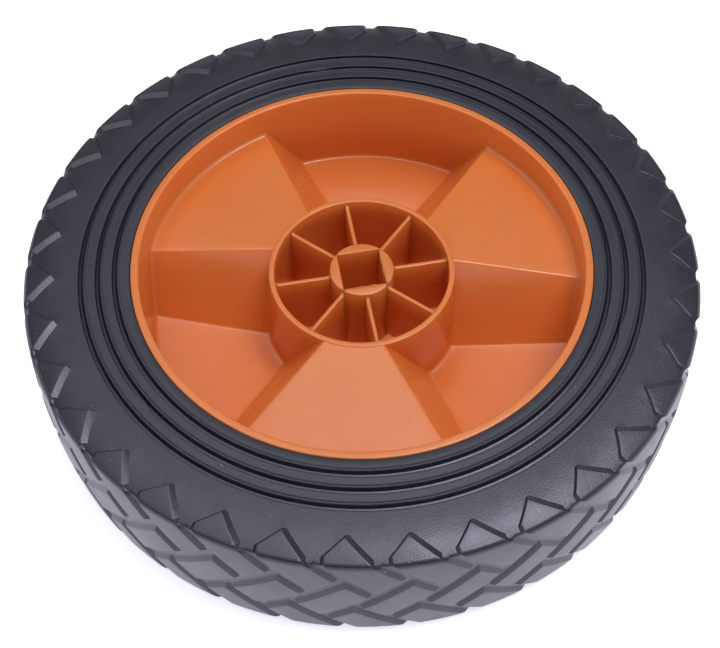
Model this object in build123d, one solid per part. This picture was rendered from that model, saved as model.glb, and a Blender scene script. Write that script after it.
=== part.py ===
from build123d import *
from math import cos, pi, radians, sin, sqrt, tan
import os

# A garden machine's wheel, lying on its side: a rubber tyre on a one-piece moulded disc.
# The axle runs along Z through the origin and the mid-plane is z = 0.
# Lengths are in millimetres and angles in degrees.

# Outline of the tyre
tyre_radius = 100.0  # over the tread blocks
side_height = 20.8  # from the mid-plane to the tyre's sides and to the rim's lips
relief = 0.95  # height of the tread blocks and of the side triangles
shoulder_cut = 3.4  # legs of the bevel between tread and side, over the blocks

# Tread pattern: slanted bars in the middle, slanted ends that run over the shoulders
pitch_count = 35
tread_turn = 0.31  # angle of the first front triangle
groove_lean = 45.0
bar_groove_width = 4.4  # across the open top
end_groove_width = 4.0
groove_wall_run = 0.7  # how far a groove's wall slopes in on its way down
bar_groove_share = 0.281  # of a pitch, from a front triangle to a bar groove at the mid-plane
end_groove_share = 0.654  # of a pitch, from a front triangle to an end groove's line at the mid-plane
block_root = 0.3  # how far a block runs down into the carcass, so that it joins it

# Triangles on the sides
triangle_length = 10.6  # from the tread to the tip
triangle_steep_run = 0.45  # slope of the clockwise wall, as a distance in plan
triangle_bevel_run = 1.1  # slope of the other wall

# Ring grooves on the sides
ring_steps = (4.5, 9.5, 14.5)  # from the rim to the middle of each groove
ring_groove_width = 1.7
ring_groove_depth = 1.0

# The disc's rim
rim_radius = 68.0
lip_width = 2.3
barrel_draft = 0.04  # how much the barrel narrows per millimetre of depth
seat_gap = 0.1  # between rim and tyre
key_height = 2.5  # the rim's locking rib, which the tyre is moulded over
key_width = 12.0

# The disc's web, which steps between raised and sunk sectors
sector_count = 3  # raised sectors on each face
sector_turn = 15.0  # middle of the first raised sector on the front
face_at_hub = 13.2  # height of a raised sector beside the hub
face_at_rim = 10.6  # and beside the barrel
web_at_hub = 2.2
web_at_rim = 3.0
wall_slope = 31.9  # of the walls between sectors, from the axle's direction
wall_offset = 2.55  # of a front wall at the mid-plane, from the radial line between two sectors
wall_thickness = 3.0

# The hub
hub_height = 13.5  # from the mid-plane to the hub's ends
ring_radius = 27.85  # outside of the hub ring, at its end
ring_wall = 1.6
ring_draft = 0.065
boss_radius = 9.57
square_side = 13.0
rib_count = 8
rib_thickness = 1.1
rib_drop = 1.55  # how far the ribs stay below the hub's ends
rib_round = 1.1  # where a rib's edge rises to the ring and the boss

# Values that follow from the sizes above
block_height = side_height + relief
shoulder_inset = (relief + shoulder_cut) / 2  # of the bevel's middle, at the floors of the grooves
triangle_tip_radius = tyre_radius - triangle_length
pitch_turn = 360 / pitch_count
pitch_length = 2 * pi * tyre_radius / pitch_count
half_sector = 90 / sector_count
tyre_bore = rim_radius + seat_gap
spare = 2.0  # how far a cutter runs past what it cuts


def spun(profile, turn=360.0):
    """Turn a profile, drawn with radius along X and height along Y, about the axle."""
    return revolve(Plane.XZ * profile, Axis.Z, turn)


def turned(solid, angle):
    return Rot(0, 0, angle) * solid


def tyre_section(height, inner_radius):
    """The tyre's section with its skin this far above the floors of the grooves."""
    drop = relief - height
    upper = [
        (tyre_radius - drop, block_height - shoulder_cut),
        (tyre_radius - shoulder_cut, block_height - drop),
        (inner_radius, block_height - drop),
    ]
    lower = [(out, -up) for out, up in reversed(upper)]
    return Polygon(*upper, *lower, align=None)


def carcass():
    """The tyre without its blocks: bore with the keyway, grooved sides and a smooth skin."""
    section = tyre_section(0, tyre_bore)
    section -= Pos(rim_radius, 0) * Rectangle(2 * (key_height + seat_gap), key_width + 2 * seat_gap)
    half = ring_groove_width / 2
    for step in ring_steps:
        middle = rim_radius + step
        for side in (1, -1):
            section -= Polygon(
                (middle - half, side * (side_height + spare)),
                (middle - half, side * side_height),
                (middle, side * (side_height - ring_groove_depth)),
                (middle + half, side * side_height),
                (middle + half, side * (side_height + spare)),
                align=None,
            )
    return spun(section)


def groove_cutter(along, height, lean, width):
    """Cutter for a long straight groove that crosses the tread at this place."""
    turn = along / tyre_radius
    outward = Vector(cos(turn), sin(turn), 0)
    around = Vector(-sin(turn), cos(turn), 0)
    run = around * cos(radians(lean)) + Vector(0, 0, sin(radians(lean)))
    plane = Plane(outward * tyre_radius + Vector(0, 0, height), x_dir=outward, z_dir=run)
    slope = groove_wall_run / relief
    depth = relief + 2 * block_root
    half_top = width / 2 + slope * spare
    half_foot = width / 2 - slope * depth
    profile = Polygon(
        (spare, half_top),
        (-depth, half_foot),
        (-depth - shoulder_cut, half_foot),
        (-depth - shoulder_cut, -half_foot),
        (-depth, -half_foot),
        (spare, -half_top),
        align=None,
    )
    return extrude(plane * profile, 1.6 * block_height, both=True)


def nearest(solids, along, height):
    """Of these solids, the one at this place on the tread."""
    place = Vector(tyre_radius * cos(along / tyre_radius), tyre_radius * sin(along / tyre_radius), height)
    return solids.sort_by(lambda s: (s.center() - place).length)[0]


def side_triangle(skin):
    """A front triangle, with a steep wall on its clockwise side and a bevel on the other."""
    overlap = 2 * block_root
    length = triangle_length - shoulder_inset + overlap
    foot_height = block_height - shoulder_inset - overlap
    room = Pos(triangle_tip_radius, foot_height) * Rectangle(length, shoulder_cut, align=Align.MIN)
    plate = turned(spun(skin & room, 2 * pitch_turn), -pitch_turn)
    tip = (triangle_tip_radius, 0, side_height)
    for side, run in ((1, triangle_bevel_run), (-1, triangle_steep_run)):
        out_of_wall = Vector(-relief, side * relief, run * sqrt(2))
        plate = split(plate, Plane(tip, z_dir=out_of_wall), keep=Keep.BOTTOM)
    return plate


def tread_blocks():
    """One pitch of the tread: a front end block with its triangle, a bar, and a back end block."""
    bar_line = bar_groove_share * pitch_length
    end_line = end_groove_share * pitch_length
    skin = tyre_section(relief, rim_radius)
    band = skin - tyre_section(-block_root, rim_radius)
    foot_radius = tyre_radius - shoulder_inset
    tread = Pos(foot_radius + shoulder_cut, 0) * Rectangle(2 * shoulder_cut, 3 * block_height)
    sector = turned(spun(band & tread, 5 * pitch_turn), -2.5 * pitch_turn)

    middle_of_end = block_height / 2
    end_cuts = []
    for shift in (0, pitch_length):
        along = end_line + shift - middle_of_end
        end_cuts.append(groove_cutter(along, middle_of_end, -groove_lean, end_groove_width))
    bar_cut = groove_cutter(bar_line, 0, groove_lean, bar_groove_width)
    end_parts = (sector + side_triangle(skin) - [*end_cuts, bar_cut]).solids()
    end_block = nearest(end_parts, end_line + pitch_length / 2 - 0.6 * block_height, 0.6 * block_height)

    half_turn = Axis((0, 0, 0), (cos(bar_line / tyre_radius), sin(bar_line / tyre_radius), 0))
    other_bar_cut = turned(bar_cut, -pitch_turn)
    lower_cut = turned(end_cuts[0].rotate(half_turn, 180), -pitch_turn)
    bar_parts = (sector - [bar_cut, other_bar_cut, end_cuts[0], lower_cut]).solids()
    bar_block = nearest(bar_parts, bar_line - pitch_length / 2, 0)
    return [end_block, bar_block, end_block.rotate(half_turn, 180)]


def make_tyre():
    blocks = tread_blocks()
    pattern = []
    for step in range(pitch_count):
        for block in blocks:
            pattern.append(turned(block, tread_turn + step * pitch_turn))
    return carcass() + pattern


def barrel_radius(height):
    """Inside radius of the rim's barrel on the front, which narrows with depth."""
    return rim_radius - lip_width - barrel_draft * (side_height - height)


def face_cavity(offset):
    """What is cut from the front of the disc: all of it but the hub and the raised sectors."""
    floor_at_hub = -face_at_hub + web_at_hub
    floor_at_rim = -face_at_rim + web_at_rim
    top = side_height + spare
    open_space = Polygon(
        (0, hub_height),
        (ring_radius, hub_height),
        (ring_radius + ring_draft * (hub_height - floor_at_hub), floor_at_hub),
        (barrel_radius(floor_at_rim), floor_at_rim),
        (barrel_radius(top), top),
        (0, top),
        align=None,
    )
    under_faces = Polygon(
        (ring_radius - ring_wall / 2, face_at_hub),
        (ring_radius, face_at_hub),
        (barrel_radius(face_at_rim), face_at_rim),
        (rim_radius, face_at_rim),
        (rim_radius, -side_height),
        (ring_radius - ring_wall / 2, -side_height),
        align=None,
    )
    wedge_ends = []
    for height in (-side_height, side_height):
        tip = -(offset - height * tan(radians(wall_slope))) / sin(radians(half_sector))
        far = 2 * rim_radius
        half = (far - tip) * tan(radians(half_sector))
        wedge_ends.append(Pos(0, 0, height) * Polygon((tip, 0), (far, half), (far, -half), align=None))
    raised = spun(under_faces) & loft(wedge_ends, ruled=True)
    cavity = spun(open_space)
    for step in range(sector_count):
        cavity -= turned(raised, step * 360 / sector_count)
    return cavity


def hub_rib():
    """One rib of the hub, standing in the XZ plane from the boss to the ring."""
    inner = boss_radius
    outer = ring_radius - ring_wall
    top = hub_height - rib_drop
    overlap = ring_wall / 4  # how far the rib runs into the boss and the ring
    dip = (1 - sqrt(0.5)) * rib_round  # of the corner's rounding, at its middle
    edge = [
        (inner - overlap, top + rib_round),
        (inner + dip, top + dip),
        (inner + rib_round, top),
        (outer - rib_round, top),
        (outer - dip, top + dip),
        (outer + overlap, top + rib_round),
    ]
    lower_edge = [(out, -up) for out, up in reversed(edge)]
    plate = Polygon(*edge, *lower_edge, align=None)
    return extrude(Plane.XZ * plate, rib_thickness / 2, both=True)


def make_disc():
    blank = Pos(rim_radius / 2, 0) * Rectangle(rim_radius, 2 * side_height)
    blank += Pos(rim_radius, 0) * Rectangle(2 * key_height, key_width)
    disc = spun(blank)
    front = turned(face_cavity(wall_offset), sector_turn)
    back_offset = wall_thickness / cos(radians(wall_slope)) - wall_offset
    back = turned(mirror(face_cavity(back_offset), Plane.XY), sector_turn + 180 / sector_count)
    disc -= [front, back]
    cells = Cylinder(ring_radius - ring_wall, 4 * side_height) - Cylinder(boss_radius, 4 * side_height)
    disc -= cells
    ribs = [turned(hub_rib(), step * 360 / rib_count) for step in range(rib_count)]
    disc += ribs
    return disc - Box(square_side, square_side, 4 * side_height)


os.makedirs("parts", exist_ok=True)
export_step(make_disc(), "parts/wheel_disc.step")
export_step(make_tyre(), "parts/tyre.step")
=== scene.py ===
from collections import namedtuple
from math import asin, ceil, copysign, cos, exp, pi, radians, sin, tan

import bmesh
import bpy
from bpy.props import FloatProperty, FloatVectorProperty, IntProperty, PointerProperty
from mathutils import Matrix, Vector
from mathutils.geometry import delaunay_2d_cdt, intersect_line_line


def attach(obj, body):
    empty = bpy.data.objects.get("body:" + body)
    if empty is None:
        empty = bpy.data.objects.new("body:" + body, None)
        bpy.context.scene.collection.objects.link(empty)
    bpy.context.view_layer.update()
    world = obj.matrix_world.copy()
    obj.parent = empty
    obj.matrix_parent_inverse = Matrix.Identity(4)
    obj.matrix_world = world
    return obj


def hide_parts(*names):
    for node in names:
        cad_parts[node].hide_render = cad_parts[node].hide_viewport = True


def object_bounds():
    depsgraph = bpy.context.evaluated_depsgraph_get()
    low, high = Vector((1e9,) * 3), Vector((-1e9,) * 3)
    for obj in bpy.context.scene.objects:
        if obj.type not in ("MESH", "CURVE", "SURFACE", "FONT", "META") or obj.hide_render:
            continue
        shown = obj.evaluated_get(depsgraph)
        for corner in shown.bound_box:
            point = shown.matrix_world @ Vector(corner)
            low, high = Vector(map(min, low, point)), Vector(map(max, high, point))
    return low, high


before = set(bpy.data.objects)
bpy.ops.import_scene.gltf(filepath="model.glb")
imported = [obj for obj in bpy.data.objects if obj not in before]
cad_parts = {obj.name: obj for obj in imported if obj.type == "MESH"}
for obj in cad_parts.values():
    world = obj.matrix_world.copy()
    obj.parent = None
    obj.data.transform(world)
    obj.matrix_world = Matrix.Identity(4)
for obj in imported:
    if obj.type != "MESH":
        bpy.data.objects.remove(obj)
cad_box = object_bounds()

# A garden machine's wheel, lying on its side: a rubber tyre with a herringbone tread on a moulded disc.
# The axle runs along Z through the origin, and every mesh is in metres in the CAD model's frame.

bl_info = {
    "name": "Garden machine wheel",
    "version": (1, 0, 0),
    "blender": (4, 5, 0),
    "location": "3D View > Sidebar > Wheel",
    "description": "Builds a moulded wheel with a rubber tyre, and a studio to show it in",
    "category": "Add Mesh",
}

MM = 0.001
WELD_DISTANCE = 0.002 * MM


def length(name, description, millimetres):
    return FloatProperty(
        name=name, description=description, default=millimetres * MM, precision=5, unit="LENGTH"
    )


def angle(name, description, degrees):
    return FloatProperty(name=name, description=description, default=radians(degrees), unit="ROTATION")


def number(name, description, value):
    return FloatProperty(name=name, description=description, default=value, min=0.0)


def whole_number(name, description, value, least):
    return IntProperty(name=name, description=description, default=value, min=least)


def position(name, description, metres):
    return FloatVectorProperty(name=name, description=description, default=metres, size=3, unit="LENGTH")


def colour(name, description, values):
    return FloatVectorProperty(
        name=name, description=description, default=values, subtype="COLOR", size=3, min=0.0, max=1.0
    )


class TyreSettings(bpy.types.PropertyGroup):
    """Sizes and colours of the tyre."""

    tread_radius: length("Tread radius", "Over the blocks, at the mid-plane", 100.0)
    side_height: length("Side height", "From the mid-plane to a smooth side", 20.8)
    relief: length("Relief", "Height of the blocks over the floors of the grooves", 0.95)
    tread_fall: angle("Tread fall", "Slope of the crowned tread where it meets the shoulder", 5.8)
    shoulder_radius: length("Shoulder radius", "Of the tight turn beside the tread, over the blocks", 1.6)
    side_bend: length("Side bend", "Radius of the wide turn from the shoulder into the side", 38.0)
    side_tilt: angle("Side tilt", "Slope of the side where the wide turn meets the tight one", 16.0)
    seam_height: length("Seam height", "Of the mould's parting line on the shoulder", 0.20)
    pitch_count: whole_number("Pitches", "Repeats of the tread pattern", 35, 8)
    first_tip: angle("First tip", "Where the first front triangle points", 0.31)
    bar_share: number("Bar groove share", "Of a pitch, from triangle to bar groove at mid-plane", 0.281)
    end_share: number("End groove share", "Of a pitch, from a triangle to an end groove's line", 0.654)
    bar_groove: length("Bar groove", "Width across its open top", 4.3)
    end_groove: length("End groove", "Width across its open top", 3.8)
    steep_notch: length("Steep notch", "From a gap's middle to a triangle's clockwise end", 3.0)
    bevel_notch: length("Bevel notch", "From a gap's middle to where a bevel becomes a groove's wall", 2.6)
    wall_run: length("Wall run", "How far a groove's wall slopes in on its way down", 0.85)
    steep_run: length("Steep run", "Slope of a triangle's clockwise wall", 0.5)
    bevel_run: length("Bevel run", "Slope of a triangle's other wall", 1.60)
    tip_radius: length("Tip radius", "Where the foot of a triangle's tip lies", 89.42)
    band_radius: length("Band radius", "Outer edge of the smooth band with the rings", 87.0)
    first_ring: length("First ring", "Inner edge of the innermost rib", 71.1)
    ring_step: length("Ring step", "From one ring to the next", 4.92)
    ring_depth: length("Ring depth", "Of the groove beside each rib", 1.0)
    rib_height: length("Rib height", "Of the thin rib beside each groove", 0.45)
    bore: length("Bore", "Radius that sits on the rim", 68.1)
    rubber: colour("Rubber", "Colour of clean rubber", (0.008, 0.008, 0.014))
    worn: colour("Worn rubber", "Colour where the rubber is greyed", (0.012, 0.012, 0.020))
    dust: colour("Dust", "Colour of specks of dust", (0.30, 0.29, 0.28))


class DiscSettings(bpy.types.PropertyGroup):
    """Sizes and colours of the moulded disc."""

    rim_radius: length("Rim radius", "Outside of the rim's lips", 68.0)
    side_height: length("Side height", "From the mid-plane to the lips", 20.8)
    lip_width: length("Lip width", "Thickness of the rim at its lips", 2.3)
    lip_round: length("Lip round", "Rounding of the lips' edges", 0.45)
    barrel_draft: number("Barrel draft", "How much the barrel narrows per unit of depth", 0.04)
    key_height: length("Key height", "Of the rib that locks the tyre", 2.5)
    key_width: length("Key width", "Of the rib that locks the tyre", 12.0)
    sector_count: whole_number("Raised sectors", "On each face", 3, 2)
    sector_turn: angle("Sector turn", "Middle of the first raised sector on the front", 15.0)
    face_at_hub: length("Face at hub", "Height of a raised sector beside the hub", 13.2)
    face_at_rim: length("Face at rim", "Height of a raised sector beside the barrel", 10.6)
    web_at_hub: length("Web at hub", "Thickness of the web beside the hub", 2.2)
    web_at_rim: length("Web at rim", "Thickness of the web beside the barrel", 3.0)
    wall_slope: angle("Wall slope", "Of the walls between sectors, from the axle's direction", 31.9)
    wall_offset: length("Wall offset", "Of a front wall at mid-plane, from the line between sectors", 2.55)
    wall_thickness: length("Wall thickness", "Of the slanted walls", 3.0)
    inside_round: length("Inside round", "Rounding of the inner corners", 1.15)
    outside_round: length("Outside round", "Rounding of the outer corners", 0.9)
    hub_height: length("Hub height", "From the mid-plane to the hub's ends", 13.5)
    ring_radius: length("Ring radius", "Outside of the hub ring at its end", 27.85)
    ring_wall: length("Ring wall", "Thickness of the hub ring", 1.6)
    ring_draft: number("Ring draft", "How much the ring widens per unit of depth", 0.065)
    boss_radius: length("Boss radius", "Outside of the boss round the axle hole", 9.57)
    square_side: length("Square side", "Width of the axle hole", 13.0)
    edge_round: length("Edge round", "Rounding of the hub's thin edges", 0.22)
    rib_count: whole_number("Ribs", "Ribs between boss and ring", 8, 2)
    rib_thickness: length("Rib thickness", "Of the ribs between boss and ring", 1.1)
    rib_drop: length("Rib drop", "How far the ribs stay below the hub's ends", 1.55)
    rib_round: length("Rib round", "Where a rib's edge rises to ring and boss", 1.2)
    plastic: colour("Plastic", "Colour of the moulding", (0.69, 0.188, 0.038))
    flow: colour("Flow", "Colour of the paler flow marks", (0.73, 0.206, 0.046))
    dust: colour("Dust", "Colour of specks on the plastic", (0.80, 0.50, 0.38))


class StageSettings(bpy.types.PropertyGroup):
    """The floor, the lights and the camera."""

    floor: colour("Floor", "Colour of the table", (0.86, 0.865, 0.92))
    floor_size: length("Floor size", "Width of the table", 6000.0)
    floor_glow: colour("Floor glow", "Light of the table beyond that of the lamps", (0.63, 0.637, 0.70))
    # Painted light: under the disc the table takes this darker orange as its colour, a painted shade, and
    # glows with it, a painted orange light that stands in for light through the disc.
    painted_light_under_disc: colour("Under the disc", "Colour and light of the table there", (0.30, 0.085, 0.022))
    sky: number("Sky", "Strength of the light from all round", 1.85)
    softbox: number("Softbox", "Power of the overhead softbox in watts", 3.4)
    softbox_size: length("Softbox size", "Width and height of the softbox", 400.0)
    softbox_place: position("Softbox place", "Middle of the softbox", (0.30, -0.08, 0.93))
    lens: length("Lens", "Focal length on a 36 mm wide sensor", 62.97)
    elevation: angle("Elevation", "How far the camera looks down", 55.658)
    roll: angle("Roll", "Turn of the picture", -0.616)
    azimuth: angle("Azimuth", "Direction that the camera looks from", -9.7)
    camera_place: position("Camera place", "Eye of the camera", (-0.03880, -0.22292, 0.3156))


# Mesh helpers


def add_grid(bm, rows):
    """Add rows of points as a sheet of four-sided faces, each row joined end to start."""
    made = [[bm.verts.new(point) for point in row] for row in rows]
    count = len(rows[0])
    for lower, upper in zip(made, made[1:]):
        for start in range(count):
            end = (start + 1) % count
            bm.faces.new((lower[start], lower[end], upper[end], upper[start]))
    return made


def polar(radius, turn, height):
    return Vector((radius * cos(turn), radius * sin(turn), height))


def arc(centre, radius, start, end, steps):
    """Points on an arc in a plane, ends included."""
    turns = [start + (end - start) * step / steps for step in range(steps + 1)]
    return [(centre[0] + radius * cos(turn), centre[1] + radius * sin(turn)) for turn in turns]


def steps_between(first, last, count):
    """Points on a straight line, without its ends."""
    return [
        tuple(a + (b - a) * step / count for a, b in zip(first, last)) for step in range(1, count)
    ]


def finished_mesh(bm, name, sharp):
    """Weld, point the faces outward, smooth all edges but those over an angle, and give the mesh."""
    bmesh.ops.remove_doubles(bm, verts=bm.verts, dist=WELD_DISTANCE)
    bmesh.ops.recalc_face_normals(bm, faces=bm.faces)
    mesh = bpy.data.meshes.new(name)
    bm.to_mesh(mesh)
    bm.free()
    mesh.polygons.foreach_set("use_smooth", [True] * len(mesh.polygons))
    mesh.set_sharp_from_angle(angle=sharp)
    return mesh


def place_piece(context, mesh, name, material, node):
    """Put a finished mesh in the scene in place of a CAD node."""
    piece = bpy.data.objects.new(name, mesh)
    mesh.materials.clear()
    mesh.materials.append(material)
    context.scene.collection.objects.link(piece)
    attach(piece, "root")
    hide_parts(node)


def round_pattern_tree():
    """Geometry Nodes that repeat a mesh round the axle and weld the copies."""
    tree = bpy.data.node_groups.new("RoundPattern", "GeometryNodeTree")
    kinds = {"Geometry": "Geometry", "Count": "Int", "Weld": "Float", "Material": "Material"}
    for name, kind in kinds.items():
        tree.interface.new_socket(name=name, in_out="INPUT", socket_type="NodeSocket" + kind)
    tree.interface.new_socket(name="Geometry", in_out="OUTPUT", socket_type="NodeSocketGeometry")
    nodes = tree.nodes
    link = tree.links.new
    given = nodes.new("NodeGroupInput")
    result = nodes.new("NodeGroupOutput")
    points = nodes.new("GeometryNodePoints")
    index = nodes.new("GeometryNodeInputIndex")
    share = nodes.new("ShaderNodeMath")
    share.operation = "DIVIDE"
    turn = nodes.new("ShaderNodeMath")
    turn.operation = "MULTIPLY"
    turn.inputs[1].default_value = 2 * pi
    about_axle = nodes.new("ShaderNodeCombineXYZ")
    copies = nodes.new("GeometryNodeInstanceOnPoints")
    real = nodes.new("GeometryNodeRealizeInstances")
    weld = nodes.new("GeometryNodeMergeByDistance")
    paint = nodes.new("GeometryNodeSetMaterial")
    link(given.outputs["Count"], points.inputs["Count"])
    link(index.outputs["Index"], share.inputs[0])
    link(given.outputs["Count"], share.inputs[1])
    link(share.outputs[0], turn.inputs[0])
    link(turn.outputs[0], about_axle.inputs["Z"])
    link(points.outputs["Points"], copies.inputs["Points"])
    link(given.outputs["Geometry"], copies.inputs["Instance"])
    link(about_axle.outputs["Vector"], copies.inputs["Rotation"])
    link(copies.outputs["Instances"], real.inputs["Geometry"])
    link(real.outputs["Geometry"], weld.inputs["Geometry"])
    link(given.outputs["Weld"], weld.inputs["Distance"])
    link(weld.outputs["Geometry"], paint.inputs["Geometry"])
    link(given.outputs["Material"], paint.inputs["Material"])
    link(paint.outputs["Geometry"], result.inputs["Geometry"])
    return tree


def repeated_round(context, mesh, count, material):
    """The mesh repeated round the axle by Geometry Nodes, as a plain mesh."""
    tree = bpy.data.node_groups.get("RoundPattern") or round_pattern_tree()
    seed = bpy.data.objects.new(mesh.name + "_seed", mesh)
    context.scene.collection.objects.link(seed)
    modifier = seed.modifiers.new("RoundPattern", "NODES")
    modifier.node_group = tree
    values = {"Count": count, "Weld": WELD_DISTANCE, "Material": material}
    for socket in tree.interface.items_tree:
        if socket.in_out == "INPUT" and socket.name in values:
            modifier[socket.identifier] = values[socket.name]
    depsgraph = context.evaluated_depsgraph_get()
    depsgraph.update()
    result = bpy.data.meshes.new_from_object(seed.evaluated_get(depsgraph))
    bpy.data.objects.remove(seed)
    return result


# The tyre

# One side of a block on the unrolled skin: a line that runs counterclockwise round the block,
# how far the top edge stays inside it, and how far the wall below the edge slopes out.
Side = namedtuple("Side", "along across heading inset run")

# From a block's top to the floor: how far out of the top edge, the share of the wall's run
# that is added, and the height as a share of the relief.
WALL_STEPS = (
    (-0.30 * MM, 0.0, 1.0),
    (-0.12 * MM, 0.0, 0.985),
    (0.0, 0.02, 0.93),
    (0.01 * MM, 0.14, 0.82),
    (0.0, 1.0, 0.0),
)
# Spacing of the points along a block's outline, on its top, on the shoulder and along the parting line
OUTLINE_STEP = 0.75 * MM
TOP_STEP = 2.0 * MM
SHOULDER_STEP = 0.45 * MM
SEAM_STEP = 0.45 * MM
SEAM_REACH = 0.16 * MM  # from the parting line's crest to its foot
BAND_SPANS = 8  # along one pitch of the smooth band
GROOVE_REACH = 0.9  # of the tyre's half width, where an end groove opens into the gap between triangles
KEEP_INSIDE = 1  # the triangulation's setting for faces inside the outline only
SAME_POINT = 1e-8  # how close two points of the plan count as one
TYRE_SHARP = radians(24)  # edges that bend more stay sharp

# Across one ring, from the outside in: millimetres from the ring's inner edge, and a share of the
# groove's depth or of the rib's height.
RING_COUNT = 3
RING_GROOVE = (
    (2.75, 0.0),
    (2.40, 0.0),
    (2.22, 0.03),
    (2.14, 0.12),
    (2.02, 0.90),
    (1.90, 1.0),
    (1.60, 0.97),
    (1.25, 0.85),
    (0.96, 0.55),
)
RING_RIB = (
    (0.75, 0.05),
    (0.64, 0.75),
    (0.54, 1.0),
    (0.30, 1.0),
    (0.18, 0.85),
    (-0.15, 0.08),
    (-0.36, 0.0),
    (-0.70, 0.0),
)
BORE_EDGE = ((0.5, 0.0), (0.1, -0.1), (0.0, -0.5))  # millimetres out of the bore, and up

# The dips that the moulding gates leave in the middle ring's groove
GATE_COUNT = 3
GATE_DEPTH = 0.75 * MM
GATE_SPREAD = radians(2.2)
GATE_WALL = 2.3 * MM  # from the ring's inner edge to the wall that leans in
GATE_REACH = 0.3 * MM  # how far from that wall a point still moves


class Skin:
    """The tyre's skin, unrolled: across runs from the mid-plane over the shoulder to the side."""

    def __init__(self, tyre):
        self.tyre = tyre
        tight = tyre.shoulder_radius
        wide = tyre.side_bend
        meeting = pi / 2 - tyre.side_tilt
        self.wide_height = tyre.side_height + tyre.relief - wide
        self.tight_height = self.wide_height + (wide - tight) * sin(meeting)
        self.edge = self.tight_height + tight * sin(tyre.tread_fall)
        self.crown = self.edge * tan(tyre.tread_fall) / 2
        self.tight_radius = tyre.tread_radius - self.crown - tight * cos(tyre.tread_fall)
        self.wide_radius = self.tight_radius - (wide - tight) * cos(meeting)
        self.seam = self.edge + tight * (meeting - tyre.tread_fall)
        self.side = self.seam + wide * tyre.side_tilt

    def across_of(self, radius):
        """Where on the side this radius lies."""
        beyond = radius - self.wide_radius
        if beyond <= 0:
            return self.side - beyond
        return self.side - self.tyre.side_bend * asin(beyond / self.tyre.side_bend)

    def section(self, across, height):
        """Radius and height over the mid-plane, this far above the floors of the grooves."""
        tyre = self.tyre
        out = abs(across)
        if out <= self.edge:
            share = out / self.edge
            radius = tyre.tread_radius - tyre.relief + height - self.crown * share**2
            up = out - (tyre.relief - height) * sin(tyre.tread_fall) * share
        elif out <= self.seam:
            turn = tyre.tread_fall + (out - self.edge) / tyre.shoulder_radius
            bend = tyre.shoulder_radius - tyre.relief + height
            radius = self.tight_radius + bend * cos(turn)
            up = self.tight_height + bend * sin(turn)
        elif out <= self.side:
            turn = pi / 2 - (self.side - out) / tyre.side_bend
            bend = tyre.side_bend - tyre.relief + height
            radius = self.wide_radius + bend * cos(turn)
            up = self.wide_height + bend * sin(turn)
        else:
            radius = self.wide_radius - (out - self.side)
            up = tyre.side_height + height
        return radius, copysign(up, across)

    def point(self, along, across, height):
        radius, up = self.section(across, height)
        return polar(radius, self.tyre.first_tip + along / self.tyre.tread_radius, up)


def block_corners(sides, shift, share):
    """Corners of a block's outline, with each side moved out by shift and by a share of its run."""
    lines = []
    for side in sides:
        outward = Vector((sin(side.heading), -cos(side.heading), 0))
        start = Vector((side.along, side.across, 0)) + outward * (shift + share * side.run - side.inset)
        lines.append((start, start + Vector((cos(side.heading), sin(side.heading), 0))))
    return [
        intersect_line_line(*before, *after)[0].to_2d()
        for before, after in zip([lines[-1]] + lines[:-1], lines)
    ]


def divided(corners, counts, closed=True):
    """The corners with points set in between, this many spans to each stretch."""
    points = []
    following = corners[1:] + corners[:1] if closed else corners[1:]
    for start, end, count in zip(corners, following, counts):
        points.extend(start.lerp(end, step / count) for step in range(count))
    if not closed:
        points.append(corners[-1])
    return points


def inside(point, corners):
    """Whether a point lies inside a polygon."""
    result = False
    for start, end in zip(corners, corners[1:] + corners[:1]):
        if (start.y > point.y) != (end.y > point.y):
            crossing = start.x + (point.y - start.y) / (end.y - start.y) * (end.x - start.x)
            if point.x < crossing:
                result = not result
    return result


class PitchPlan:
    """One pitch of the tread as a flat plan of points with heights and of edges between them."""

    def __init__(self):
        self.points = []
        self.heights = []
        self.edges = []

    def add_points(self, points, height):
        first = len(self.points)
        self.points.extend(points)
        self.heights.extend([height] * len(points))
        return list(range(first, len(self.points)))

    def add_loop(self, points, height):
        numbers = self.add_points(points, height)
        self.edges.extend(zip(numbers, numbers[1:] + numbers[:1]))

    def add_block(self, sides, skin):
        """A block as loops from its top down to the floor, with spare points on its top."""
        relief = skin.tyre.relief
        top = block_corners(sides, 0, 0)
        counts = [max(1, ceil((b - a).length / OUTLINE_STEP)) for a, b in zip(top, top[1:] + top[:1])]
        for shift, share, height in WALL_STEPS:
            self.add_loop(divided(block_corners(sides, shift, share), counts), height * relief)
        low = min(corner.y for corner in top)
        high = max(corner.y for corner in top)
        bend = (skin.edge + skin.seam) / 2
        bend_reach = (skin.seam - skin.edge) / 2 + SHOULDER_STEP
        seam_room = SEAM_REACH + SHOULDER_STEP / 2
        for step, for_bend in ((TOP_STEP, False), (SHOULDER_STEP, True)):
            inner = block_corners(sides, WALL_STEPS[0][0] - step / 2, 0)
            for row in range(int((high - low) / step) + 1):
                across = low + row * step
                on_bend = abs(abs(across) - bend) <= bend_reach
                on_seam = abs(abs(across) - skin.seam) <= seam_room
                if on_bend == for_bend and not (on_bend and on_seam):
                    self.add_row(across, step, row % 2 / 2, inner, relief)
        inner = block_corners(sides, WALL_STEPS[0][0] - SEAM_STEP / 2, 0)
        for side in (1, -1):
            for shift, rise in ((-SEAM_REACH, 0.0), (0.0, skin.tyre.seam_height), (SEAM_REACH, 0.0)):
                self.add_row(side * (skin.seam + shift), SEAM_STEP, 0.0, inner, relief + rise)

    def add_row(self, across, step, shift, corners, height):
        """Points a step apart along a line, where it runs inside a polygon."""
        low = min(corner.x for corner in corners)
        high = max(corner.x for corner in corners)
        count = int((high - low) / step) + 1
        row = [Vector((low + (number + shift) * step, across)) for number in range(count)]
        self.add_points([point for point in row if inside(point, corners)], height)


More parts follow.
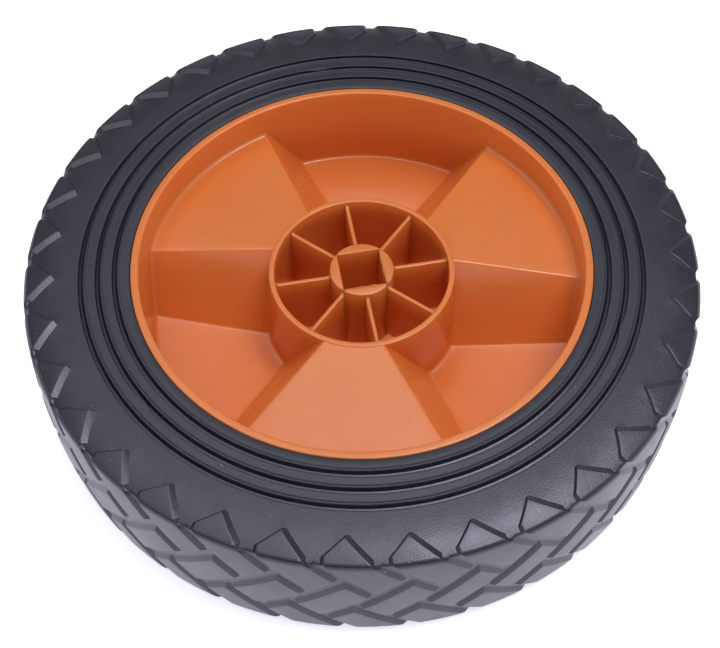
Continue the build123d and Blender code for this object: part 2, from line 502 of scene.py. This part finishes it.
def half_turned(sides, centre):
    """A block's sides turned half round about a point on the mid-plane."""
    return [
        side._replace(along=2 * centre - side.along, across=-side.across, heading=side.heading + pi)
        for side in sides
    ]


def pitch_mesh(tyre, skin):
    """One pitch of tread, shoulders and side triangles, bounded by the middles of its grooves."""
    pitch = 2 * pi * tyre.tread_radius / tyre.pitch_count
    bar = tyre.bar_share * pitch
    end = tyre.end_share * pitch
    tip = skin.across_of(tyre.tip_radius)
    band = skin.across_of(tyre.band_radius)
    lean = pi / 4
    half_bar = tyre.bar_groove / 2
    half_end = tyre.end_groove / 2

    end_block = [
        Side(bar, 0, lean, half_bar, tyre.wall_run),
        Side(end + pitch, 0, pi - lean, half_end, tyre.wall_run),
        Side(pitch / 2, 0, pi / 2, tyre.bevel_notch, tyre.wall_run),
        Side(0, tip, pi - lean, tyre.bevel_run, tyre.bevel_run),
        Side(0, tip, pi + lean, tyre.steep_run, tyre.steep_run),
        Side(-pitch / 2, 0, -pi / 2, tyre.steep_notch, tyre.wall_run),
        Side(end, 0, -lean, half_end, tyre.wall_run),
    ]
    bar_block = [
        Side(bar, 0, lean, half_bar, tyre.wall_run),
        Side(end, 0, pi - lean, half_end, tyre.wall_run),
        Side(bar - pitch, 0, pi + lean, half_bar, tyre.wall_run),
        Side(2 * bar - end - pitch, 0, -lean, half_end, tyre.wall_run),
    ]
    plan = PitchPlan()
    for sides in (end_block, bar_block, half_turned(end_block, bar)):
        plan.add_block(sides, skin)

    groove_end = GROOVE_REACH * (tyre.side_height + tyre.relief)
    valley_start = groove_end + tyre.wall_run + tyre.relief / 2
    fork = (end - bar + pitch) / 2
    low_fork = (3 * bar - end) / 2 - pitch
    left = [
        Vector((-pitch / 2, band)),
        Vector((-pitch / 2, valley_start)),
        Vector((end - groove_end, groove_end)),
    ]
    lower = [Vector((2 * bar - pitch - point.x, -point.y)) for point in reversed(left)]
    left += [Vector((end - fork, fork)), Vector((low_fork, low_fork - bar + pitch))] + lower
    spans = [max(1, ceil((b - a).length / OUTLINE_STEP)) for a, b in zip(left, left[1:])]
    left_points = divided(left, spans, closed=False)
    right_points = [point + Vector((pitch, 0)) for point in left_points]
    front_band = divided([right_points[0], left_points[0]], [BAND_SPANS], closed=False)[1:-1]
    back_band = divided([left_points[-1], right_points[-1]], [BAND_SPANS], closed=False)[1:-1]
    plan.add_loop(front_band + left_points + back_band + right_points[::-1], 0.0)

    points, _, faces, sources, _, _ = delaunay_2d_cdt(
        plan.points, plan.edges, [], KEEP_INSIDE, SAME_POINT
    )
    heights = [plan.heights[source[0]] if source else 0.0 for source in sources]
    mesh = bpy.data.meshes.new("tyre_pitch")
    places = [skin.point(point.x, point.y, height) for point, height in zip(points, heights)]
    mesh.from_pydata(places, [], faces)
    return mesh


def ring_profile(tyre):
    """The side from the smooth band in to the bore: grooves, each with a thin rib inside it."""
    profile = [(tyre.band_radius, 0.0)]
    for ring in reversed(range(RING_COUNT)):
        inner = tyre.first_ring + ring * tyre.ring_step
        profile.extend((inner + out * MM, -share * tyre.ring_depth) for out, share in RING_GROOVE)
        profile.extend((inner + out * MM, share * tyre.rib_height) for out, share in RING_RIB)
    profile.extend((tyre.bore + out * MM, up * MM) for out, up in BORE_EDGE)
    return profile


def gate_dip(tyre, radius, turn):
    """How far the wall of the middle ring's groove leans in at the moulding gates."""
    wall = tyre.first_ring + tyre.ring_step + GATE_WALL
    if abs(radius - wall) > GATE_REACH:
        return 0.0
    half_step = pi / GATE_COUNT
    off = (turn - pi / 2 + half_step) % (2 * half_step) - half_step
    return GATE_DEPTH * exp(-((off / GATE_SPREAD) ** 2))


def add_sides(bm, tyre):
    """Both smooth sides with their rings, and the bore between them."""
    columns = BAND_SPANS * tyre.pitch_count
    step = 2 * pi / columns
    pitch = 2 * pi / tyre.pitch_count
    start = tyre.first_tip - pitch / 2
    back_turn = (2 * tyre.bar_share * pitch) % step
    profile = ring_profile(tyre)
    rows = []
    for side, turn_on in ((1, 0.0), (-1, back_turn)):
        half = []
        for radius, up in profile:
            turns = [start + turn_on + column * step for column in range(columns)]
            half.append([
                polar(radius - gate_dip(tyre, radius, side * turn), turn, side * (tyre.side_height + up))
                for turn in turns
            ])
        rows.extend(half if side > 0 else half[::-1])
    add_grid(bm, rows)


def tyre_mesh(context, tyre, material):
    skin = Skin(tyre)
    tread = repeated_round(context, pitch_mesh(tyre, skin), tyre.pitch_count, material)
    bm = bmesh.new()
    bm.from_mesh(tread)
    bpy.data.meshes.remove(tread)
    add_sides(bm, tyre)
    return finished_mesh(bm, "tyre_rubber", TYRE_SHARP)


# The disc

# Spans of the mesh along each stretch
LEVEL_STEPS = 7
ROUND_STEPS = 5
WALL_SPANS = 4
WEB_ROWS = 16
CREST_STEPS = 3
HUB_SPANS = 5
BARREL_SPANS = 8
LIP_STEPS = 4
CELL_SPANS = 8
RIB_ROUND_STEPS = 8
RIB_SPANS = 8
BOSS_COLUMNS = 96
DISC_SHARP = radians(40)  # edges that bend more stay sharp

NEAR_HUB = 1.03  # of the hub ring's radius, where the web's height beside it is read
NEAR_RIM = 0.98  # of the barrel's radius, likewise
HUB_ROUND_SHARE = 0.7  # of the hub ring's wall, the most that the rounding at its foot takes
EDGE_SHARE = 0.3  # of an edge's rounding, how far its middle stays inside both faces
HOLE_EDGE = ((0.35 * MM, 0.0), (0.06 * MM, 0.04 * MM), (0.0, 0.2 * MM))  # out of the axle hole, and down

# The ragged bead of flash at the axle hole
FLASH_STEPS = 40
FLASH_SHARE = 0.97  # of the hole's side
FLASH_LEAST = 0.12 * MM
FLASH_MORE = 0.30 * MM  # what its waves add at most
FLASH_WAVES = (23.0, 9.0)  # in radians over its length
FLASH_ENDS = 8.0  # how steeply it runs out at its ends
FLASH_TIP = 0.01 * MM  # its size at both ends
FLASH_SINK = 0.03 * MM  # how far it sits in the boss


def linear(radius, first, last):
    """A height that runs straight from one (radius, height) to another."""
    share = (radius - first[0]) / (last[0] - first[0])
    return first[1] + (last[1] - first[1]) * share


class Face:
    """One face of the disc, in columns of points from a raised sector's middle to a sunk one's."""

    def __init__(self, disc, offset):
        self.disc = disc
        self.offset = offset
        self.half_sector = pi / (2 * disc.sector_count)
        self.hub = disc.ring_radius
        self.rim = disc.rim_radius - disc.lip_width

    def raised(self, radius):
        return linear(radius, (self.hub, self.disc.face_at_hub), (self.rim, self.disc.face_at_rim))

    def sunk(self, radius):
        disc = self.disc
        at_hub = disc.web_at_hub - disc.face_at_hub
        at_rim = disc.web_at_rim - disc.face_at_rim
        return linear(radius, (self.hub, at_hub), (self.rim, at_rim))

    def columns(self, radius):
        """(turn, height) of each column at this radius, turned from the raised sector's middle."""
        disc = self.disc
        high = self.raised(radius)
        low = self.sunk(radius)
        turn = pi / 2 - disc.wall_slope
        lean = tan(disc.wall_slope)
        outer = disc.outside_round
        inner = disc.inside_round
        top = self.offset - high * lean - outer * tan(turn / 2)
        foot = self.offset - low * lean + inner * tan(turn / 2)
        upper = arc((top, high - outer), outer, pi / 2, pi / 2 - turn, ROUND_STEPS)
        lower = arc((foot, low + inner), inner, -pi / 2 - turn, -pi / 2, ROUND_STEPS)
        wall = upper + steps_between(upper[-1], lower[0], WALL_SPANS) + lower
        turns = [(self.half_sector + asin(side / radius), up) for side, up in wall]
        middle = 2 * self.half_sector
        level = [(turns[0][0] * step / LEVEL_STEPS, high) for step in range(LEVEL_STEPS)]
        floor = steps_between(turns[-1], (middle, low), LEVEL_STEPS) + [(middle, low)]
        return level + turns + floor

    def count(self):
        return len(self.columns(self.rim)) - 1

    def profile(self, column):
        """(radius, height, turn) from the hub ring's inner edge to the rim's outer one, in a column."""
        disc = self.disc
        even = 2 * self.half_sector * column / self.count()
        edge = disc.edge_round
        top = disc.hub_height
        inner = disc.ring_radius - disc.ring_wall
        crest = arc((inner + edge, top - edge), edge, pi, pi / 2, CREST_STEPS)
        crest += arc((disc.ring_radius - edge, top - edge), edge, pi / 2, 0, CREST_STEPS)

        height = self.columns(disc.ring_radius * NEAR_HUB)[column][1]
        hub_round = min(disc.inside_round, HUB_ROUND_SHARE * (top - edge - height))
        wall_foot = disc.ring_radius + disc.ring_draft * (top - height - hub_round)
        first = wall_foot + hub_round
        turn, height = self.columns(first)[column]
        hub_foot = arc((first, height + hub_round), hub_round, pi, 1.5 * pi, ROUND_STEPS)
        hub_wall = steps_between(crest[-1], hub_foot[0], HUB_SPANS)

        lip = disc.side_height
        rim_height = self.columns(self.rim * NEAR_RIM)[column][1]
        rim_round = disc.inside_round
        barrel = self.rim - disc.barrel_draft * (lip - rim_height - rim_round)
        last = barrel - rim_round
        last_turn, rim_height = self.columns(last)[column]
        web = []
        for step in range(1, WEB_ROWS):
            radius = first + (last - first) * step / WEB_ROWS
            place, up = self.columns(radius)[column]
            web.append((radius, up, place))
        rim_foot = arc((last, rim_height + rim_round), rim_round, -pi / 2, 0, ROUND_STEPS)
        bend = disc.lip_round
        lip_edge = arc((self.rim + bend, lip - bend), bend, pi, pi / 2, LIP_STEPS)
        lip_edge += arc((disc.rim_radius - bend, lip - bend), bend, pi / 2, 0, LIP_STEPS)
        barrel_wall = steps_between(rim_foot[-1], lip_edge[0], BARREL_SPANS)

        result = [(radius, up, even) for radius, up in crest]
        for number, (radius, up) in enumerate(hub_wall):
            share = (number + 1) / (len(hub_wall) + 1)
            result.append((radius, up, even + (turn - even) * share))
        result += [(radius, up, turn) for radius, up in hub_foot]
        result += web
        result += [(radius, up, last_turn) for radius, up in rim_foot]
        for number, (radius, up) in enumerate(barrel_wall):
            share = (number + 1) / (len(barrel_wall) + 1)
            result.append((radius, up, last_turn + (even - last_turn) * share))
        result += [(radius, up, even) for radius, up in lip_edge]
        return result

    def rows(self, start, side):
        """The whole face as rows of points round the axle."""
        half = [self.profile(column) for column in range(self.count() + 1)]
        rows = []
        for number in range(len(half[0])):
            row = []
            for sector in range(self.disc.sector_count):
                middle = start + 4 * self.half_sector * sector
                following = middle + 4 * self.half_sector
                for column in range(self.count()):
                    radius, up, turn = half[column][number]
                    row.append(polar(radius, middle + turn, side * up))
                for column in range(self.count(), 0, -1):
                    radius, up, turn = half[column][number]
                    row.append(polar(radius, following - turn, side * up))
            rows.append(row)
        return rows


def boss_rows(disc):
    """The boss with its square hole, as rows of points down the outside and up the hole."""
    edge = disc.edge_round
    top = disc.hub_height
    half = disc.square_side / 2
    turns = [2 * pi * column / BOSS_COLUMNS for column in range(BOSS_COLUMNS)]
    outside = [
        (disc.boss_radius, top - edge),
        (disc.boss_radius - EDGE_SHARE * edge, top - EDGE_SHARE * edge),
        (disc.boss_radius - edge, top),
    ]
    rows = []
    for side in (1, -1):
        part = [[polar(radius, turn, side * up) for turn in turns] for radius, up in outside]
        for out, down in HOLE_EDGE:
            row = []
            for turn in turns:
                reach = (half + out) / max(abs(cos(turn)), abs(sin(turn)))
                row.append(polar(reach, turn, side * (top - down)))
            part.append(row)
        rows.extend(part if side > 0 else part[::-1])
    return rows + rows[:1]


def flash_rows(disc, heading):
    """A ragged bead of moulding flash along one edge of the axle hole's front."""
    half = disc.square_side / 2
    base = disc.hub_height - FLASH_SINK
    about_axle = Matrix.Rotation(heading, 3, "Z")
    rows = []
    for step in range(FLASH_STEPS + 1):
        share = step / FLASH_STEPS
        waves = abs(sin(FLASH_WAVES[0] * share + heading) * cos(FLASH_WAVES[1] * share + 2 * heading))
        ends = min(1.0, FLASH_ENDS * share, FLASH_ENDS * (1 - share))
        size = max(FLASH_TIP, ends * (FLASH_LEAST + FLASH_MORE * waves))
        along = (2 * share - 1) * FLASH_SHARE * half
        loop = [(size, 0.0), (0.0, -size), (-size, 0.0), (0.2 * size, 0.9 * size)]
        rows.append([about_axle @ Vector((half + out, along, base + up)) for out, up in loop])
    return rows


def rib_mesh(disc):
    """One rib between boss and ring, with rounded edges and hollow corners."""
    inner = disc.boss_radius
    outer = disc.ring_radius - disc.ring_wall
    top = disc.hub_height - disc.rib_drop
    bend = disc.rib_round
    overlap = disc.ring_wall / 3
    near = arc((inner + bend, top + bend), bend, pi, 1.5 * pi, RIB_ROUND_STEPS)
    far = arc((outer - bend, top + bend), bend, -pi / 2, 0, RIB_ROUND_STEPS)
    crest = [(inner - overlap, near[0][1])] + near + steps_between(near[-1], far[0], RIB_SPANS) + far
    crest.append((outer + overlap, far[-1][1]))
    half = disc.rib_thickness / 2
    edge = disc.edge_round
    rows = []
    middle = EDGE_SHARE * edge
    for radius, up in crest:
        quarter = [(half, up - edge), (half - middle, up - middle), (half - edge, up)]
        upper = quarter + [(-side, height) for side, height in reversed(quarter)]
        loop = upper + [(side, -height) for side, height in reversed(upper)]
        rows.append([Vector((radius, side, height)) for side, height in loop])
    bm = bmesh.new()
    made = add_grid(bm, rows)
    bm.faces.new(made[0])
    bm.faces.new(made[-1])
    bmesh.ops.recalc_face_normals(bm, faces=bm.faces)
    mesh = bpy.data.meshes.new("hub_rib")
    bm.to_mesh(mesh)
    bm.free()
    return mesh


def disc_mesh(context, disc, material):
    bm = bmesh.new()
    half_turn = pi / disc.sector_count
    back_offset = disc.wall_thickness / cos(disc.wall_slope) - disc.wall_offset
    front = Face(disc, disc.wall_offset).rows(disc.sector_turn, 1)
    back = Face(disc, back_offset).rows(disc.sector_turn + half_turn, -1)
    shift = len(back[0]) // (2 * disc.sector_count)
    back = [row[-shift:] + row[:-shift] for row in back]
    add_grid(bm, front)
    add_grid(bm, back)
    cell_wall = [front[0]]
    for step in range(1, CELL_SPANS):
        cell_wall.append([a.lerp(b, step / CELL_SPANS) for a, b in zip(front[0], back[0])])
    add_grid(bm, cell_wall + [back[0]])
    outer = [front[-1]]
    outward = [Vector((point.x, point.y, 0)).normalized() for point in front[-1]]
    half_key = disc.key_width / 2
    for radius, up in (
        (disc.rim_radius, half_key),
        (disc.rim_radius + disc.key_height, half_key),
        (disc.rim_radius + disc.key_height, -half_key),
        (disc.rim_radius, -half_key),
    ):
        outer.append([direction * radius + Vector((0, 0, up)) for direction in outward])
    add_grid(bm, outer + [back[-1]])
    add_grid(bm, boss_rows(disc))
    for heading in (0.0, -pi / 2):
        made = add_grid(bm, flash_rows(disc, heading))
        bm.faces.new(made[0])
        bm.faces.new(made[-1])
    ribs = repeated_round(context, rib_mesh(disc), disc.rib_count, material)
    bm.from_mesh(ribs)
    bpy.data.meshes.remove(ribs)
    return finished_mesh(bm, "disc_moulding", DISC_SHARP)


# Materials


class Paint:
    """A material being built: its nodes, its links and its shader."""

    def __init__(self, name):
        self.material = bpy.data.materials.new(name)
        self.material.use_nodes = True
        self.nodes = self.material.node_tree.nodes
        self.link = self.material.node_tree.links.new
        self.shader = self.nodes["Principled BSDF"]
        self.place = self.nodes.new("ShaderNodeTexCoord").outputs["Object"]

    def noise(self, scale, detail=3.0, roughness=0.5):
        node = self.nodes.new("ShaderNodeTexNoise")
        node.inputs["Scale"].default_value = scale
        node.inputs["Detail"].default_value = detail
        node.inputs["Roughness"].default_value = roughness
        self.link(self.place, node.inputs["Vector"])
        return node.outputs["Fac"]

    def specks(self, scale):
        node = self.nodes.new("ShaderNodeTexVoronoi")
        node.inputs["Scale"].default_value = scale
        self.link(self.place, node.inputs["Vector"])
        return node.outputs["Distance"]

    def ranged(self, value, given, wanted):
        """A value moved from one range, given by its two ends, to another."""
        node = self.nodes.new("ShaderNodeMapRange")
        for number, setting in enumerate((*given, *wanted)):
            node.inputs[number + 1].default_value = setting
        self.link(value, node.inputs["Value"])
        return node.outputs["Result"]

    def times(self, first, second):
        node = self.nodes.new("ShaderNodeMath")
        node.operation = "MULTIPLY"
        self.link(first, node.inputs[0])
        self.link(second, node.inputs[1])
        return node.outputs[0]

    def mixed(self, share, first, second):
        """A colour between two, each a list of numbers or another node's output."""
        node = self.nodes.new("ShaderNodeMix")
        node.data_type = "RGBA"
        self.link(share, node.inputs["Factor"])
        for name, value in (("A", first), ("B", second)):
            socket = next(s for s in node.inputs if s.name == name and s.type == "RGBA")
            if isinstance(value, bpy.types.NodeSocket):
                self.link(value, socket)
            else:
                socket.default_value = (*value, 1.0)
        return next(s for s in node.outputs if s.type == "RGBA")

    def bump(self, value, strength, distance, under=None):
        node = self.nodes.new("ShaderNodeBump")
        node.inputs["Strength"].default_value = strength
        node.inputs["Distance"].default_value = distance
        self.link(value, node.inputs["Height"])
        if under:
            self.link(under, node.inputs["Normal"])
        return node.outputs["Normal"]

    def finish(self, base, roughness, normal):
        """Lead a colour, a roughness and a bumped normal to the shader."""
        for name, value in (("Base Color", base), ("Roughness", roughness), ("Normal", normal)):
            self.link(value, self.shader.inputs[name])


CLOUD_SHADE = 0.985  # how dark the table's clouds are
UNDER_SHARE = 0.8  # of the wheel's radius, where the painted shade and glow under it start to fade out


def rubber_material(tyre):
    paint = Paint("tyre_rubber")
    patches = paint.ranged(paint.noise(scale=38.0, detail=5.0, roughness=0.6), (0.35, 0.7), (0.0, 1.0))
    clean = paint.mixed(patches, tyre.rubber, tyre.worn)
    spots = paint.ranged(paint.specks(scale=560.0), (0.06, 0.11), (1.0, 0.0))
    chosen = paint.ranged(paint.noise(scale=150.0, detail=1.0), (0.57, 0.63), (0.0, 0.7))
    dusty = paint.mixed(paint.times(spots, chosen), clean, tyre.dust)
    sheen = paint.ranged(paint.noise(scale=90.0, detail=4.0), (0.3, 0.7), (0.29, 0.38))
    grain = paint.bump(paint.noise(scale=2300.0, detail=4.0), strength=0.7, distance=0.09 * MM)
    swell = paint.bump(paint.noise(scale=240.0), strength=0.20, distance=0.10 * MM, under=grain)
    paint.finish(dusty, sheen, swell)
    paint.shader.inputs["Specular IOR Level"].default_value = 0.85
    paint.shader.inputs["Specular Tint"].default_value = (0.84, 0.85, 1.0, 1.0)
    return paint.material


def plastic_material(disc):
    paint = Paint("disc_plastic")
    flow = paint.ranged(paint.noise(scale=26.0, detail=4.0, roughness=0.6), (0.35, 0.7), (0.0, 1.0))
    clean = paint.mixed(flow, disc.plastic, disc.flow)
    spots = paint.ranged(paint.specks(scale=300.0), (0.04, 0.08), (1.0, 0.0))
    chosen = paint.ranged(paint.noise(scale=110.0, detail=1.0), (0.62, 0.66), (0.0, 0.7))
    dusty = paint.mixed(paint.times(spots, chosen), clean, disc.dust)
    sheen = paint.ranged(paint.noise(scale=70.0, detail=4.0), (0.3, 0.7), (0.21, 0.28))
    grain = paint.bump(paint.noise(scale=1500.0), strength=0.10, distance=0.05 * MM)
    swell = paint.bump(paint.noise(scale=130.0, detail=2.0), strength=0.18, distance=0.15 * MM, under=grain)
    paint.finish(dusty, sheen, swell)
    paint.shader.inputs["Specular IOR Level"].default_value = 0.7
    paint.shader.inputs["Subsurface Weight"].default_value = 0.4
    paint.shader.inputs["Subsurface Radius"].default_value = (1.0, 0.3, 0.1)
    paint.shader.inputs["Subsurface Scale"].default_value = 5 * MM
    return paint.material


def floor_material(stage):
    paint = Paint("stage_floor")
    cloudy = paint.ranged(paint.noise(scale=3.0, detail=2.0), (0.3, 0.7), (0.0, 1.0))
    table = paint.mixed(cloudy, stage.floor, [CLOUD_SHADE * value for value in stage.floor])
    distance = paint.nodes.new("ShaderNodeVectorMath")
    distance.operation = "LENGTH"
    paint.link(paint.place, distance.inputs[0])
    # Under the wheel, the table has painted light: a darker orange colour as painted shade, and an orange
    # glow as painted light from the disc.
    reach = max(cad_box[1][:2])
    beyond = paint.ranged(distance.outputs["Value"], (UNDER_SHARE * reach, reach), (0.0, 1.0))
    even_and_painted_glow = paint.mixed(beyond, stage.painted_light_under_disc, stage.floor_glow)
    paint.link(paint.mixed(beyond, stage.painted_light_under_disc, table), paint.shader.inputs["Base Color"])
    paint.link(even_and_painted_glow, paint.shader.inputs["Emission Color"])
    paint.shader.inputs["Emission Strength"].default_value = 1.0
    paint.shader.inputs["Roughness"].default_value = 0.75
    return paint.material


# The studio

# Ranges of the light from all round: the axis that it is read along, from and to where on it, and
# its strength at both ends.
TABLE_EDGE = ((0.0, 0.0, 1.0), 0.24, 0.42, 0.60, 0.02)
FRONT_TO_BACK = ((0.0, 1.0, 0.0), -0.2, 0.9, 1.0, 0.45)
CEILING_LAMP = ((-0.05, 0.15, 0.987), 0.84, 0.95, 0.12, 1.00)
SENSOR_WIDTH = 36.0  # of the camera, in millimetres


def add_floor(context, stage):
    bm = bmesh.new()
    bmesh.ops.create_grid(bm, x_segments=4, y_segments=4, size=stage.floor_size / 2)
    lowest = cad_box[0][2]
    bmesh.ops.translate(bm, verts=bm.verts, vec=(0, 0, lowest))
    mesh = bpy.data.meshes.new("floor")
    bm.to_mesh(mesh)
    bm.free()
    mesh.materials.append(floor_material(stage))
    floor = bpy.data.objects.new("floor", mesh)
    context.scene.collection.objects.link(floor)


def add_light(context, stage):
    scene = context.scene
    scene.view_settings.view_transform = "Standard"
    world = bpy.data.worlds.new("studio")
    world.use_nodes = True
    nodes = world.node_tree.nodes
    link = world.node_tree.links.new
    background = nodes["Background"]
    background.inputs["Strength"].default_value = stage.sky
    direction = nodes.new("ShaderNodeTexCoord").outputs["Generated"]

    def along(axis, low, high, to_low, to_high):
        """How bright the surroundings are by how far one looks along an axis."""
        dot = nodes.new("ShaderNodeVectorMath")
        dot.operation = "DOT_PRODUCT"
        dot.inputs[1].default_value = axis
        link(direction, dot.inputs[0])
        ramp = nodes.new("ShaderNodeMapRange")
        for place, setting in enumerate((low, high, to_low, to_high)):
            ramp.inputs[place + 1].default_value = setting
        link(dot.outputs["Value"], ramp.inputs["Value"])
        return ramp.outputs["Result"]

    # A bright table edge in front, dim walls, and a large lamp overhead.
    light = nodes.new("ShaderNodeMath")
    light.operation = "MULTIPLY_ADD"
    link(along(*TABLE_EDGE), light.inputs[0])
    link(along(*FRONT_TO_BACK), light.inputs[1])
    link(along(*CEILING_LAMP), light.inputs[2])
    link(light.outputs[0], background.inputs["Color"])
    scene.world = world

    softbox = bpy.data.lights.new("softbox", "AREA")
    softbox.shape = "RECTANGLE"
    softbox.size = stage.softbox_size
    softbox.size_y = stage.softbox_size
    softbox.energy = stage.softbox
    lamp = bpy.data.objects.new("softbox", softbox)
    lamp.location = stage.softbox_place
    to_wheel = -lamp.location
    lamp.rotation_euler = to_wheel.to_track_quat("-Z", "Y").to_euler()
    scene.collection.objects.link(lamp)


def add_camera(context, stage):
    camera = bpy.data.cameras.new("camera")
    camera.lens = stage.lens / MM
    camera.sensor_width = SENSOR_WIDTH
    camera.sensor_fit = "HORIZONTAL"
    camera.clip_start = 0.01
    camera.dof.use_dof = False
    eye = bpy.data.objects.new("camera", camera)
    look_down = Matrix.Rotation(pi / 2 - stage.elevation, 4, "X")
    rolled = Matrix.Rotation(stage.roll, 4, "Z")
    turned = Matrix.Rotation(stage.azimuth, 4, "Z")
    eye.matrix_world = Matrix.Translation(stage.camera_place) @ turned @ look_down @ rolled
    context.scene.collection.objects.link(eye)
    context.scene.camera = eye


# Operators


class WHEEL_OT_tyre(bpy.types.Operator):
    """Build the tyre with its tread, shoulders, triangles and rings"""

    bl_idname = "wheel.build_tyre"
    bl_label = "Tyre"

    def execute(self, context):
        tyre = context.scene.wheel_tyre
        material = rubber_material(tyre)
        mesh = tyre_mesh(context, tyre, material)
        place_piece(context, mesh, "tyre_rubber", material, "tyre")
        return {"FINISHED"}


class WHEEL_OT_disc(bpy.types.Operator):
    """Build the moulded disc with its rim, stepped web, hub ring, ribs and boss"""

    bl_idname = "wheel.build_disc"
    bl_label = "Disc"

    def execute(self, context):
        disc = context.scene.wheel_disc
        material = plastic_material(disc)
        mesh = disc_mesh(context, disc, material)
        place_piece(context, mesh, "disc_moulding", material, "wheel_disc")
        return {"FINISHED"}


class WHEEL_OT_stage(bpy.types.Operator):
    """Set up the table, the soft light and the camera"""

    bl_idname = "wheel.build_stage"
    bl_label = "Studio"

    def execute(self, context):
        stage = context.scene.wheel_stage
        add_floor(context, stage)
        add_light(context, stage)
        add_camera(context, stage)
        return {"FINISHED"}


class WHEEL_PT_panel(bpy.types.Panel):
    """The wheel's pieces and the studio, with their sizes and colours"""

    bl_label = "Wheel"
    bl_idname = "WHEEL_PT_panel"
    bl_space_type = "VIEW_3D"
    bl_region_type = "UI"
    bl_category = "Wheel"

    def draw(self, context):
        scene = context.scene
        for operator, settings in (
            (WHEEL_OT_tyre, scene.wheel_tyre),
            (WHEEL_OT_disc, scene.wheel_disc),
            (WHEEL_OT_stage, scene.wheel_stage),
        ):
            box = self.layout.box()
            box.operator(operator.bl_idname)
            for name in settings.__annotations__:
                box.prop(settings, name)


CLASSES = (
    TyreSettings,
    DiscSettings,
    StageSettings,
    WHEEL_OT_tyre,
    WHEEL_OT_disc,
    WHEEL_OT_stage,
    WHEEL_PT_panel,
)


def register():
    for item in CLASSES:
        bpy.utils.register_class(item)
    bpy.types.Scene.wheel_tyre = PointerProperty(type=TyreSettings)
    bpy.types.Scene.wheel_disc = PointerProperty(type=DiscSettings)
    bpy.types.Scene.wheel_stage = PointerProperty(type=StageSettings)


def unregister():
    del bpy.types.Scene.wheel_stage
    del bpy.types.Scene.wheel_disc
    del bpy.types.Scene.wheel_tyre
    for item in reversed(CLASSES):
        bpy.utils.unregister_class(item)


def main():
    register()
    bpy.ops.wheel.build_tyre()
    bpy.ops.wheel.build_disc()
    bpy.ops.wheel.build_stage()


if __name__ == "__main__":
    main()
